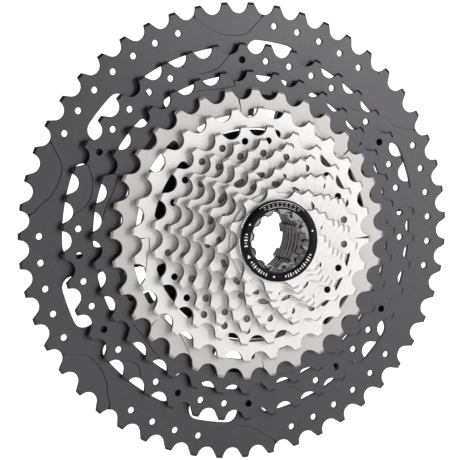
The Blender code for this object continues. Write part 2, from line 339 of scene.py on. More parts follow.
class Graph:
    """The shader graph of one finish."""

    def __init__(self, name: str) -> None:
        """Starts a material with a Principled shader."""
        self.material = bpy.data.materials.new(name)
        self.material.use_nodes = True
        self.tree = self.material.node_tree
        self.shader = self.tree.nodes["Principled BSDF"]

    def node(self, kind: str, settings: dict | None = None,
             sockets: dict | None = None) -> bpy.types.Node:
        """Adds a node.

        Args:
            kind: The node's type, without its ShaderNode prefix.
            settings: Its settings.
            sockets: Values or wires of its inputs, by identifier.

        Returns:
            The node.
        """
        made = self.tree.nodes.new("ShaderNode" + kind)
        for key, value in (settings or {}).items():
            setattr(made, key, value)
        for key, value in (sockets or {}).items():
            self.plug(made, key, value)
        return made

    def plug(self, node: bpy.types.Node, key: str, value: object) -> None:
        """Gives one input a wire, a colour or a number."""
        socket = next(s for s in node.inputs if key in (s.identifier, s.name))
        if isinstance(value, Wire):
            self.tree.links.new(value.socket, socket)
        elif isinstance(value, tuple) and len(value) < len(socket.default_value):
            socket.default_value = (*value, 1)
        else:
            socket.default_value = value

    def out(self, node: bpy.types.Node, key: str | int = 0) -> Wire:
        """One output of a node."""
        return Wire(self, node.outputs[key])

    def math(self, operation: str, first: "Wire | float", second: "Wire | float" = 0.0) -> Wire:
        """A Math node's result."""
        made = self.node("Math", {"operation": operation})
        for socket, value in zip(made.inputs, (first, second)):
            self.plug(made, socket.identifier, value)
        return self.out(made)

    def place(self) -> Wire:
        """Object coordinates."""
        return self.out(self.node("TexCoord"), "Object")

    def wall(self) -> Wire:
        """The share of cut wall in a face, which mixes in the finish's wall colour: painted shade
        on the sprockets.
        """
        return self.out(self.node("Attribute", {"attribute_name": "wall"}), "Fac")

    def noise(self, size: float, detail: float = 2.0, rough: float = 0.5) -> Wire:
        """Noise from 0 to 1 with grains of a size in metres."""
        return self.out(self.node("TexNoise", None, {
            "Vector": self.place(), "Scale": 1 / size, "Detail": detail, "Roughness": rough}))

    def rings(self, width: float) -> Wire:
        """Turning marks: noise that depends only on the distance from the axle and along it."""
        split = self.node("SeparateXYZ", None, {"Vector": self.place()})
        x, y, z = (self.out(split, k) for k in range(3))
        away = self.math("SQRT", x * x + z * z)
        return self.out(self.node("TexNoise", {"noise_dimensions": "1D"}, {
            "W": (away + y * 0.9) / width, "Scale": 1.0, "Detail": 3.0}))

    def mix(self, share: "Wire | float", first: "Wire | Colour", second: "Wire | Colour",
            blend: str = "MIX") -> Wire:
        """A mix of two colours."""
        made = self.node("Mix", {"data_type": "RGBA", "blend_type": blend}, {
            "Factor_Float": share, "A_Color": first, "B_Color": second})
        return self.out(made, 2)

    def bump(self, height: Wire, distance: float, strength: float = 1.0) -> Wire:
        """A normal from a height map whose full scale is a distance in metres."""
        return self.out(self.node("Bump", None, {
            "Height": height, "Distance": distance, "Strength": strength}))

    def dress(self, **sockets: object) -> bpy.types.Material:
        """Plugs the shader's inputs, named with underscores for spaces; returns the material."""
        for key, value in sockets.items():
            self.plug(self.shader, key.replace("_", " "), value)
        return self.material


class Marks(Enum):
    """What the tool that shaped a surface left on it."""

    GRAIN = "tumbled grain"
    RINGS = "turning rings"


@dataclass(frozen=True)
class Metal:
    """A metal finish: a face colour, a wall colour that on the sprocket finishes is painted shade
    on cut walls and chamfers, fine marks and slow mottling.
    """

    name: str
    face: Colour
    # colour of cut walls and chamfers; on the sprocket finishes it is painted shade, darker and
    # browner than the face, as walls in shadow look
    wall: Colour
    roughness: float
    wall_roughness: float
    marks: Marks = Marks.GRAIN
    mark_size: float = 0.25 * MM
    mark_depth: float = 0.004 * MM
    speckle: float = 0.10           # how far the grain darkens and lightens the colour
    mottle: float = 0.05
    mottle_size: float = 9 * MM
    metallic: float = 1.0
    coat: float = 0.0
    scratch_size: float = 6.0       # of the scratches, in grains
    uneven: float = 0.12            # how far the mottling and the scratches vary the roughness
    scratched: float = 0.10

    def material(self) -> bpy.types.Material:
        """The finish's material, made once."""
        if self.name in bpy.data.materials:
            return bpy.data.materials[self.name]
        graph = Graph(self.name)
        wall = graph.wall()
        make_marks = graph.noise if self.marks is Marks.GRAIN else graph.rings
        fine = make_marks(self.mark_size)
        slow = graph.noise(self.mottle_size, detail=4.0, rough=0.6)
        scratch = graph.noise(self.mark_size * self.scratch_size, detail=5.0, rough=0.75)
        shade = 1 + (fine - 0.5) * (2 * self.speckle) + (slow - 0.5) * (2 * self.mottle)
        tint = graph.node("CombineColor", None, {"Red": shade, "Green": shade, "Blue": shade})
        # walls and chamfers take the wall colour by their share: painted shade on the sprocket
        # finishes
        plain = graph.mix(wall, self.face, self.wall)
        colour = graph.mix(1.0, plain, graph.out(tint), "MULTIPLY")
        rough = self.roughness + wall * (self.wall_roughness - self.roughness)
        rough = rough + (slow - 0.5) * self.uneven + (scratch - 0.5) * self.scratched
        height = fine * 0.8 + scratch * 0.6
        return graph.dress(Base_Color=colour, Roughness=rough, Metallic=self.metallic,
                           Coat_Weight=self.coat, Normal=graph.bump(height, self.mark_depth))


class Finish(Enum):
    """The finishes of the cassette's pieces."""

    # The second colour of the graphite and both nickel finishes is painted shade for their cut
    # walls and chamfers, darker and browner than the face
    GRAPHITE = Metal("graphite_anodised", (0.072, 0.070, 0.074), (0.014, 0.0135, 0.014), 0.38, 0.5,
                     mark_size=0.6 * MM, speckle=0.2, mottle=0.06)
    GREY_NICKEL = Metal("grey_nickel_steel", (0.49, 0.471, 0.458), (0.10, 0.085, 0.078), 0.48, 0.5,
                        mark_size=0.5 * MM, metallic=0.6)
    NICKEL = Metal("satin_nickel_steel", (0.70, 0.679, 0.665), (0.10, 0.085, 0.078), 0.50, 0.5,
                   mark_size=0.5 * MM, speckle=0.08, metallic=0.6)
    BLACK_ALLOY = Metal("black_anodised_alloy", (0.011, 0.011, 0.012), (0.008, 0.008, 0.009), 0.45,
                        0.5, mark_size=0.3 * MM, speckle=0.12)
    SPACER = Metal("black_turned_spacer", (0.012, 0.012, 0.013), (0.02, 0.02, 0.021), 0.40, 0.42,
                   marks=Marks.RINGS, mark_size=0.12 * MM, speckle=0.1)
    RIVET = Metal("rivet_steel", (0.20, 0.195, 0.19), (0.12, 0.115, 0.11), 0.38, 0.45)
    WASHER = Metal("knurled_steel", (0.70, 0.68, 0.66), (0.62, 0.60, 0.58), 0.32, 0.36,
                   marks=Marks.RINGS, mark_size=0.15 * MM, speckle=0.05)
    LOCKRING = Metal("gloss_black_lockring", (0.007, 0.007, 0.008), (0.30, 0.30, 0.315), 0.26, 0.30,
                     marks=Marks.RINGS, mark_size=0.10 * MM, speckle=0.22, coat=0.08)
    PRINT = Metal("white_print", (0.82, 0.82, 0.82), (0.8, 0.8, 0.8), 0.5, 0.5, metallic=0.0,
                  mark_depth=0.001 * MM, speckle=0.02)

    def material(self) -> bpy.types.Material:
        """The finish's material."""
        return self.value.material()


# Outlines


def pitch_radius(teeth: int) -> float:
    """Radius of the circle through the chain's rollers: half the pitch over sin(180/n)."""
    return PITCH / (2 * sin(pi / teeth))


def tooth_outline(teeth: int, tip_angle: float, tip: float) -> Array:
    """A chain sprocket's teeth, as one tooth and valley turned round the axle.

    A valley is an arc about a point of the pitch circle. It runs between the two tangents to it
    from the corners of the leaning tips on both sides. Each tangent is a flank with points of
    its own, for the chamfer to follow.

    Args:
        teeth: Number of teeth.
        tip_angle: Angle of the middle of one tip.
        tip: Radius of the tips.

    Returns:
        Points (x, z), anticlockwise.
    """
    pitch, step = pitch_radius(teeth), TURN / teeth
    lean = np.degrees(TIP_LEAN / tip)
    half = np.degrees(TIP_WIDTH / 2 / tip)
    soft = np.degrees(TIP_ROUND / tip)
    middle = step / 2 - lean
    sweeps = []
    for corner in (half, step - half):
        out, along = polar(tip - TIP_ROUND, corner - middle) - (pitch, 0)
        tangent = pi - abs(atan2(along, out)) - acos(VALLEY / hypot(out, along))
        sweeps.append(tangent if along > 0 else -tangent)
    sweep = np.linspace(*sweeps, VALLEY_POINTS)
    arc = np.stack([pitch - VALLEY * np.cos(sweep), VALLEY * np.sin(sweep)], -1)
    corners = polar(tip - TIP_ROUND, np.array([half, step - half]) - middle)
    along = np.linspace(0, 1, FLANK_POINTS + 2)[1:-1, None]
    arc = np.concatenate([corners[0] + (arc[0] - corners[0]) * along, arc,
                          arc[-1] + (corners[1] - arc[-1]) * along])
    arc_angles = middle + np.degrees(np.arctan2(arc[:, 1], arc[:, 0]))
    tip_radii = tip - TIP_ROUND * np.array([1, 0.3, 0, 0, 0, 0.3, 1])
    ends = half - soft * np.array([0, 0.3, 1])
    radii = np.concatenate([tip_radii, np.hypot(arc[:, 0], arc[:, 1])])
    angles = np.concatenate([-ends, [0], ends[::-1], arc_angles])
    turns = tip_angle + np.arange(teeth) * step
    return polar(np.tile(radii, teeth), (turns[:, None] + angles).ravel())


def spline_bore(angles: Array) -> Array:
    """Radius of the freehub bore at each angle: nine inward tabs, one of them narrower."""
    tab = np.round((angles - SPLINE_KEY_ANGLE) / TURN * SPLINE_COUNT)
    away = np.abs(angles - SPLINE_KEY_ANGLE - tab * TURN / SPLINE_COUNT)
    half = np.where(tab % SPLINE_COUNT == 0, SPLINE_HALF_KEY, SPLINE_HALF)
    return SPLINE_MINOR + (SPLINE_MAJOR - SPLINE_MINOR) * np.clip(away - half, 0, 1)


def circle(radius: float, sides: int, middle: Array | Pair = (0.0, 0.0)) -> Array:
    """A round outline about a point, anticlockwise."""
    return polar(radius, np.arange(sides) / sides * TURN) + middle


@dataclass(frozen=True)
class Window:
    """An arched opening between two spokes, with round corners; it repeats six times."""

    middle: float
    sweep: float
    inner: float
    outer: float
    corner: float
    inner_corner: float = 1.5 * MM

    def outlines(self) -> list[Array]:
        """All six, anticlockwise: four quarter turns, joined by two arcs about the axle."""
        quarter = np.radians(np.linspace(0, 90, 7))
        radii, angles = [], []
        for radius, corner, side, order in (
            (self.outer, self.corner, 1, 1), (self.outer, self.corner, -1, -1),
            (self.inner, -self.inner_corner, -1, 1), (self.inner, -self.inner_corner, 1, -1),
        ):
            run = quarter[::order]
            away = radius - corner * (1 - np.sin(run))
            short = np.degrees(abs(corner) * (1 - np.cos(run)) / away)
            radii.append(away)
            angles.append(side * (self.sweep / 2 - short))
        between = np.linspace(angles[0][-1], angles[1][0], 12)[1:-1]
        below = np.linspace(angles[2][-1], angles[3][0], 10)[1:-1]
        radii = np.concatenate([radii[0], np.full(len(between), self.outer), radii[1],
                                radii[2], np.full(len(below), self.inner), radii[3]])
        angles = np.concatenate([angles[0], between, angles[1], angles[2], below, angles[3]])
        return [polar(radii, angles + self.middle + k * TURN / SYMMETRY) for k in range(SYMMETRY)]


@dataclass(frozen=True)
class Notch:
    """An opening of a bore between two spokes, with round outer corners."""

    middle: float
    sweep: float
    outer: float
    corner: float

    def reach(self, angles: Array, bore: float) -> Array:
        """Radius of the bore at each angle: the outer radius, less a quarter turn at each corner.

        A corner falls away from the outer radius as corner (1 - sqrt(1 - t^2)), where t rises
        from 0 to 1 over the corner's width.
        """
        away = np.abs((angles - self.middle + TURN / SYMMETRY / 2) % (TURN / SYMMETRY)
                      - TURN / SYMMETRY / 2)
        width = np.degrees(self.corner / self.outer)
        t = np.clip((away - self.sweep / 2 + width) / width, 0, 1)
        return np.where(away <= self.sweep / 2, self.outer - self.corner * (1 - np.sqrt(1 - t * t)),
                        bore)


@dataclass(frozen=True)
class Holes:
    """Round holes on a circle, one for each tooth but those that shift ramps take."""

    circle: float
    first: float
    missing: tuple[int, ...] = ()
    radius: float = 1.5 * MM

    def outlines(self, teeth: int) -> list[Array]:
        """The holes' outlines, anticlockwise."""
        return [circle(self.radius, HOLE_SIDES, polar(self.circle, self.first + k * TURN / teeth))
                for k in range(teeth) if k not in self.missing]


@dataclass(frozen=True)
class Slots:
    """Short curved slots with round ends, one for each tooth."""

    circle: float
    first: float
    sweep: float
    width: float

    def outlines(self, teeth: int) -> list[Array]:
        """The slots' outlines, anticlockwise: two half turns joined by two arcs."""
        side = self.width / 2
        reach = self.sweep / 2 - np.degrees(side / self.circle)
        half = np.radians(np.linspace(-90, 90, 11))
        along = np.degrees(side * np.cos(half) / self.circle)
        middle = np.linspace(reach, -reach, 7)[1:-1]
        away = np.concatenate([side * np.sin(half), np.full(len(middle), side)])
        radii = np.concatenate([self.circle + away, self.circle - away])
        angles = np.concatenate([reach + along, middle, -reach - along, -middle])
        return [polar(radii, angles + self.first + k * TURN / teeth) for k in range(teeth)]


@dataclass(frozen=True)
class Ramp:
    """A shift ramp: a shallow step milled into the front face, open outwards over the teeth.

    Its path starts and ends on the tooth outline; the angles are from its start, and the first
    and last radii only steer the curve.
    """

    starts: tuple[float, ...]
    path: tuple[Pair, ...]
    depth: float = 0.45 * MM
    slope: float = 0.22 * MM
    curved: bool = False
    steps: int = 6                  # of a curve, between two points of the path

    def curve(self, start: float) -> Array:
        """Points (x, z) between the path's ends: straight runs, or a Catmull-Rom curve."""
        knots = np.array(self.path, float)
        if self.curved:
            ends = np.vstack([2 * knots[0] - knots[1], knots, 2 * knots[-1] - knots[-2]])
            t = np.linspace(0, 1, self.steps, endpoint=False)[:, None]
            knots = np.concatenate([
                0.5 * (2 * b + (c - a) * t + (2 * a - 5 * b + 4 * c - d) * t**2
                       + (3 * b - a - 3 * c + d) * t**3)
                for a, b, c, d in zip(ends, ends[1:], ends[2:], ends[3:])
            ])[1:]
        else:
            knots = knots[1:-1]
        return polar(knots[:, 1] * MM, start + knots[:, 0])


@dataclass
class Sprocket:
    """One sprocket: a flat plate with chamfered teeth, bore, openings and shift ramps."""

    teeth: int
    tip_angle: float
    finish: Finish
    body: str
    slot: str
    bore: float | None = None           # radius of a riveted sprocket's bore; None is splined
    rivets: float = 0.0                 # radius of the rivets' circle
    windows: tuple[Window, ...] = ()
    notches: tuple[Notch, ...] = ()
    holes: Holes | None = None
    slots: Slots | None = None
    ramps: tuple[Ramp, ...] = ()

    @property
    def node(self) -> str:
        """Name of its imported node."""
        return f"sprocket_{self.teeth}"

    def openings(self) -> list[Array]:
        """Every opening's outline, clockwise, so that the plate lies on its left."""
        bore = spline_bore(BORE_ANGLES) if self.bore is None else np.full(BORE_STEPS, self.bore)
        for notch in self.notches:
            bore = np.maximum(bore, notch.reach(BORE_ANGLES, self.bore))
        outlines = [polar(bore, BORE_ANGLES)]
        if self.rivets:
            outlines += [circle(RIVET_BORE, RIVET_BORE_SIDES, polar(self.rivets, angle))
                         for angle in ARM_ANGLES]
        for window in self.windows:
            outlines += window.outlines()
        for cut in (self.holes, self.slots):
            if cut is not None:
                outlines += cut.outlines(self.teeth)
        return [clockwise(outline) for outline in outlines]

    def edge_rows(self, skin: Skin, outline: Array, low: float, high: float, face_end: float,
                  depth: Array, sunk: Array) -> Array:
        """Walls round one outline: chamfer, cut wall, chamfer.

        A face's rim is the outline inset by a plain edge, and held inside the face's end.

        Args:
            skin: Gathers the points and faces.
            outline: Points (x, z) with the plate on their left.
            low: Y of the front face.
            high: Y of the back face.
            face_end: The largest radius of the faces.
            depth: Depth of each point's chamfer.
            sunk: How far the front is sunk at each point.

        Returns:
            Four rows of point numbers, from the front to the back.
        """
        rim = outline + inward(outline) * EDGE
        away = np.hypot(rim[:, 0], rim[:, 1])
        rim *= (np.minimum(away, face_end) / away)[:, None]
        rows = [(rim, low + sunk), (outline, low + sunk + depth),
                (outline, high - depth), (rim, high)]
        numbers = skin.add_points(np.stack([raised(flat, y) for flat, y in rows]))
        # chamfers and cut walls take the finish's painted wall shade, half and in full
        skin.add_faces(quads(numbers), np.repeat([CHAMFER, WALL, CHAMFER], len(outline)))
        return numbers

    def build(self) -> bpy.types.Object:
        """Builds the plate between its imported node's faces, out to that node's tips."""
        low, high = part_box(self.node)
        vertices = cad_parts[self.node].data.vertices
        corners = np.zeros(len(vertices) * 3)
        vertices.foreach_get("co", corners)
        tip = np.hypot(corners[0::3], corners[2::3]).max() - TIP_SHY
        outer = tooth_outline(self.teeth, self.tip_angle, tip)
        away = np.hypot(outer[:, 0], outer[:, 1]) - pitch_radius(self.teeth)
        grown = ease(away, *EDGE_ZONE)
        face_end = pitch_radius(self.teeth) + FACE_END
        depth = EDGE + (TIP_DEPTH - EDGE) * grown
        skin = Skin()
        cuts = sorted(self.ramp_cuts(outer), key=lambda cut: cut[0])
        sunk = np.zeros(len(outer))
        for first, last, _, ramp in cuts:
            sunk[self.span((first + 1) % len(outer), last, len(outer))] = ramp.depth
        rows = self.edge_rows(skin, outer, low.y, high.y, face_end, depth, sunk)
        front = self.ramp_faces(skin, rows[0], cuts, low.y)
        inner = []
        for outline in self.openings():
            even = np.full(len(outline), EDGE)
            inner.append(self.edge_rows(skin, outline, low.y, high.y, face_end, even, 0 * even))
        skin.fill([front] + [numbers[0] for numbers in inner])
        skin.fill([rows[3]] + [numbers[3] for numbers in inner], back=True)
        made = skin.make(f"cog_{self.teeth}_plate", self.finish, sharp=PLATE_SHARP)
        return seat(made, self.body, self.slot, self.node)

    @staticmethod
    def span(first: int, last: int, count: int) -> Array:
        """Point numbers from first to last along a closed outline."""
        return np.arange(first, last + 1 + (count if last < first else 0)) % count

    def ramp_cuts(self, outer: Array) -> list[tuple[int, int, Array, Ramp]]:
        """Where each ramp meets the tooth outline: its last full point on both sides, its curve."""
        angles = np.degrees(np.arctan2(outer[:, 1], outer[:, 0]))
        found = []
        for ramp in self.ramps:
            for start in ramp.starts:
                ends = [np.abs((angles - start - ramp.path[k][0] + 180) % TURN - 180).argmin()
                        for k in (0, -1)]
                found.append((int(ends[0]), int(ends[1]), ramp.curve(start), ramp))
        return found

    def ramp_faces(self, skin: Skin, rim: Array, cuts: list, low: float) -> Array:
        """Floors and steps of the ramps.

        Args:
            skin: Gathers the points and faces.
            rim: Point numbers of the front face's rim.
            cuts: The ramps in order, as ramp_cuts gives them.
            low: Y of the front face.

        Returns:
            The outline of what is left of the front face, as point numbers.
        """
        count, kept = len(rim), []
        for (_, before, _, _), (first, last, curve, ramp) in zip(cuts[-1:] + cuts[:-1], cuts):
            outward = curve / np.linalg.norm(curve, axis=1, keepdims=True)
            foot = curve + outward * ramp.slope
            top = skin.add_points(raised(curve, low))
            bottom = skin.add_points(raised(foot, low + ramp.depth))
            upper = np.concatenate([[rim[first]], top, [rim[(last + 1) % count]]])
            lower = np.concatenate([[rim[(first + 1) % count]], bottom, [rim[last]]])
            # the ramp's step takes the painted wall shade, which draws it as a dark line
            skin.add_faces(np.stack([upper[:-1], lower[:-1], lower[1:], upper[1:]], -1), WALL)
            floor = rim[self.span((first + 1) % count, last, count)]
            skin.fill([np.concatenate([floor, bottom[::-1]])])
            kept += [rim[self.span((before + 1) % count, first, count)], top]
        return np.concatenate(kept) if kept else rim


@dataclass
class Spider:
    """The black carrier behind the larger sprockets: a splined hub, a disc and six stepped arms."""

    disc: float = 47.0 * MM
    disc_back: float = -5.6 * MM
    hub: float = 24.0 * MM
    front: float = -7.9 * MM
    edge: float = 0.4 * MM
    groove: float = 0.25 * MM       # depth of both grooves; their radii run from the outside in
    disc_groove: tuple[float, ...] = (44.0, 43.6, 42.4, 42.0)
    end_groove: tuple[float, ...] = (21.0, 20.7, 19.6, 19.3)
    neck: tuple[Pair, ...] = ((28.0, -5.6), (25.6, -5.2), (24.5, -4.3), (24.0, -3.0))
    arm_edge: float = 0.5 * MM
    arm_edge_segments: int = 3
    arm_profile: tuple[Pair, ...] = (
        (30.0, -6.2), (46.4, -6.2), (46.4, -4.15), (52.174, -4.15), (52.174, -0.4),
        (58.162, -0.4), (58.162, 3.35), (64.5, 3.35), (64.5, 4.7), (57.0, 4.7), (30.0, -2.5),
    )

    def hub_piece(self) -> bpy.types.Object:
        """Hub and disc: one profile carried round the axle, its bore following the splines."""
        e = self.edge
        sunk = (0.0, -self.groove, -self.groove, 0.0)
        outer = [
            (self.disc - e, self.front), (self.disc, self.front + e),
            (self.disc, self.disc_back - e), (self.disc - e, self.disc_back),
            *((r * MM, self.disc_back + y) for r, y in zip(self.disc_groove, sunk)),
            *((r * MM, y * MM) for r, y in self.neck), (self.hub, -e), (self.hub - e, 0.0),
            *((r * MM, y) for r, y in zip(self.end_groove, sunk)),
        ]
        bore = [(e, 0.0), (0.0, -e), (0.0, self.front + e), (e, self.front)]
        skin = Skin()
        skin.turned(outer + [(spline_bore(BORE_ANGLES) + r, y) for r, y in bore], BORE_STEPS)
        return skin.make("spider_hub", Finish.BLACK_ALLOY)

    def arms_piece(self) -> bpy.types.Object:
        """Six arms: a stepped profile in the plane of the axle, pulled across its width."""
        profile = np.array(self.arm_profile) * MM
        sides = np.array([-ARM_WIDTH / 2, ARM_WIDTH / 2])
        skin = Skin()
        r, y, s = profile[None, :, 0], profile[None, :, 1], sides[:, None]
        for turn in np.radians(ARM_ANGLES):
            points = np.stack(np.broadcast_arrays(
                r * np.cos(turn) - s * np.sin(turn), y, r * np.sin(turn) + s * np.cos(turn)), -1)
            numbers = skin.add_points(points)
            skin.add_faces(quads(numbers))
            skin.add_faces(np.stack([numbers[0], numbers[1][::-1]]))
        made = skin.make("spider_arms", Finish.BLACK_ALLOY)
        bevel = made.modifiers.new("edges", "BEVEL")
        bevel.width, bevel.segments = self.arm_edge, self.arm_edge_segments
        bevel.limit_method = "ANGLE"
        return made

    def build(self) -> None:
        """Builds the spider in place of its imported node."""
        seat(self.hub_piece(), "cluster", "spider", "spider")
        seat(self.arms_piece(), "cluster", "spider", "spider")


@dataclass
class Rivets:
    """Six rivets with domed heads that hold one sprocket to the arms."""

    teeth: int
    circle: float
    through: bool = False
    head: float = 2.15 * MM
    shank: float = 1.4 * MM
    rise: float = 0.7 * MM          # height of a domed head
    crown: float = 8.0              # angle at which the dome's flat crown ends
    end_edge: float = 0.2 * MM
    sides: int = 32

    def build(self) -> None:
        """Builds all six as one piece, each a profile carried round its own axis."""
        low, high = (corner.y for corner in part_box(f"rivet_{self.teeth}_1"))
        dome = np.radians(np.linspace(self.crown, 90, 6))
        head = [(self.head * np.sin(t), self.rise * (1 - np.cos(t))) for t in dome]
        head += [(self.shank, self.rise)]
        end = [(self.shank, self.end_edge), (self.shank - self.end_edge, 0.0)]
        rows = [(r, low + y) for r, y in head]
        rows += [(r, high - y) for r, y in (head[::-1] if self.through else end)]
        skin = Skin()
        for angle in ARM_ANGLES:
            skin.turned(rows, self.sides, closed=False, middle=polar(self.circle, angle))
        made = skin.make(f"rivets_{self.teeth}", Finish.RIVET)
        seat(made, "cluster", "rivet", *(f"rivet_{self.teeth}_{k + 1}" for k in range(SYMMETRY)))


def ring_rows(outer: Array | float, inner: float, low: float, high: float, edge: float) -> Rows:
    """Profile of a ring between two values of y, with its four edges eased."""
    return [(outer - edge, low), (outer, low + edge), (outer, high - edge), (outer - edge, high),
            (inner + edge, high), (inner, high - edge), (inner, low + edge), (inner + edge, low)]


@dataclass
class SpacerRing:
    """A ring with eased edges that keeps two loose sprockets apart: black, or steel."""

    inner_teeth: int
    outer_teeth: int
    finish: Finish = Finish.SPACER
    slot: str = "spacer"
    outer: float = 20.6 * MM
    inner: float = 17.8 * MM
    edge: float = 0.2 * MM
    sides: int = 180

    def build(self) -> None:
        """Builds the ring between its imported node's faces."""
        node = f"spacer_{self.inner_teeth}_{self.outer_teeth}"
        low, high = (corner.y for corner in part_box(node))
        skin = Skin()
        skin.turned(ring_rows(self.outer, self.inner, low, high, self.edge), self.sides)
        made = skin.make(f"ring_{self.inner_teeth}_{self.outer_teeth}", self.finish)
        seat(made, f"cog_{self.outer_teeth}", self.slot, node)


@dataclass
class Washer:
    """The knurled washer between the smallest sprocket and the lockring."""

    outer: float = 17.6 * MM
    inner: float = 15.7 * MM
    ridges: int = 90
    ridge_depth: float = 0.28 * MM
    ridge_steps: int = 8
    edge: float = 0.12 * MM

    def build(self) -> None:
        """Builds the washer; its rim rises and falls as a triangle wave of the angle."""
        low, high = (corner.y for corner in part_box("lockring_washer"))
        steps = self.ridges * self.ridge_steps
        wave = np.abs(2 * (np.arange(steps) / self.ridge_steps % 1) - 1)
        rim = self.outer - self.ridge_depth * wave
        skin = Skin()
        skin.turned(ring_rows(rim, self.inner, low, high, self.edge), steps)
        seat(skin.make("knurled_washer", Finish.WASHER), "washer", "washer",
             "lockring_washer")


@dataclass
class Lockring:
    """The black lockring: printed flange, bevelled lip, tool splines and a threaded sleeve."""

    flange: float = 17.8 * MM
    flange_thick: float = 1.6 * MM
    lip: float = 13.7 * MM
    root: float = 12.6 * MM
    minor: float = 11.3 * MM
    splines: int = 12
    thread: float = 15.25 * MM
    thread_depth: float = 0.35 * MM
    thread_pitch: float = 1.0 * MM
    bevel: float = 1.3 * MM
    bevel_row: int = -3             # where the bevel starts in the profile
    print_thick: float = 0.03 * MM
    columns: int = 480
    squareness: float = 2.4         # of the tool splines' wave
    print_circle: float = 15.7 * MM
    dot: float = 0.42 * MM
    tick_step: float = 4.6
    arrow_angle: float = 206.0
    arc_angle: float = 88.0
    arcs: tuple[Pair, ...] = ((16.9 * MM, 38.0), (14.55 * MM, 26.0))
    arc_width: float = 0.14 * MM
    frieze_bars: int = 9
    frieze_step: float = 7.5
    frieze_sweep: float = 3.4
    dots: tuple[float, ...] = (154.0, 16.0, 262.0)
    tick_groups: tuple[tuple[float, int], ...] = ((170.0, 5), (216.0, 8), (282.0, 13))

    def profile(self, around: Array, low: float, high: float) -> Rows:
        """The ring's profile, down its outside and thread and back up its bore.

        The bore is a wave of the angle squared off by tanh. The thread is a triangle wave that
        climbs one pitch in each turn.
        """
        square = self.squareness
        lobes = np.tanh(square * np.sin(np.radians(around * self.splines))) / np.tanh(square)
        bore = (self.root + self.minor) / 2 + (self.root - self.minor) / 2 * lobes
        flange_back = low + self.flange_thick
        face = low + self.print_thick
        root = self.thread - self.thread_depth
        rows = [
            (self.flange - 0.45 * MM, face), (self.flange - 0.1 * MM, face + 0.18 * MM),
            (self.flange, face + 0.5 * MM), (self.flange, flange_back - 0.1 * MM),
            (self.flange - 0.1 * MM, flange_back), (self.thread, flange_back),
            (root, flange_back + 0.4 * MM),
        ]
        for y in np.arange(flange_back + 0.6 * MM, high - 0.5 * MM, 0.125 * MM):
            wave = np.abs(2 * ((y / self.thread_pitch - around / TURN) % 1) - 1)
            cut = np.clip(1.25 * wave - 0.125, 0, 1)
            rows.append((self.thread - self.thread_depth * cut, y))
        return rows + [
            (root, high - 0.3 * MM),
            (root - 0.3 * MM, high),
            (bore + 0.3 * MM, high), (bore, high - 0.3 * MM),
            (bore, face + self.bevel + 0.15 * MM), (bore + 0.12 * MM, face + self.bevel),
            (self.lip - 0.08 * MM, face + 0.06 * MM), (self.lip + 0.1 * MM, face),
        ]

    def prints(self, low: float) -> bpy.types.Object:
        """Plain white dots, ticks, an arrow and two arcs, raised by the thickness of the print."""
        skin = Skin()
        back = low + 1.5 * self.print_thick
        middle = self.print_circle

        def bar(angle: float, sweep: float, inner: float, outer: float) -> None:
            """Adds a bar that follows the ring between two radii."""
            run = np.linspace(angle - sweep / 2, angle + sweep / 2, max(2, int(sweep)))
            outline = np.concatenate([polar(inner, run), polar(outer, run[::-1])])
            skin.slab(outline, low, back)

        for angle in self.dots:
            skin.slab(circle(self.dot, 24, polar(middle, angle)), low, back)
        for first, number in self.tick_groups:
            for k in range(number):
                tall = 0.75 if k % 3 else 0.45
                bar(first + self.tick_step * k, 1.3 if k % 2 else 2.2,
                    middle - tall * MM, middle + tall * MM)
        arrow = np.array([(-1.0, 0.0), (0.6, 0.8), (0.6, -0.8)]) * MM
        turn = np.radians(self.arrow_angle)
        spin = np.array([[np.cos(turn + pi / 2), np.sin(turn + pi / 2)],
                         [-np.sin(turn + pi / 2), np.cos(turn + pi / 2)]])
        skin.slab(arrow @ spin + polar(middle, self.arrow_angle), low, back)
        for radius, half in self.arcs:
            bar(self.arc_angle, 2 * half, radius - self.arc_width / 2, radius + self.arc_width / 2)
        for k in range(self.frieze_bars):
            angle = self.arc_angle + (k - self.frieze_bars // 2) * self.frieze_step
            for inner, outer in ((-0.5, -0.35), (0.35, 0.5)):
                bar(angle, self.frieze_sweep, middle + inner * MM, middle + outer * MM)
        return skin.make("lockring_prints", Finish.PRINT)

    def build(self) -> None:
        """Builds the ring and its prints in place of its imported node."""
        low, high = (corner.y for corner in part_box("lockring"))
        around = np.arange(self.columns) / self.columns * TURN
        rows = self.profile(around, low, high)
        wall = np.zeros(len(rows))
        wall[self.bevel_row] = WALL
        skin = Skin()
        skin.turned(rows, self.columns, wall)
        seat(skin.make("lockring_body", Finish.LOCKRING, sharp=35), "lockring",
             "lockring", "lockring")
        seat(self.prints(low), "lockring", "lockring")


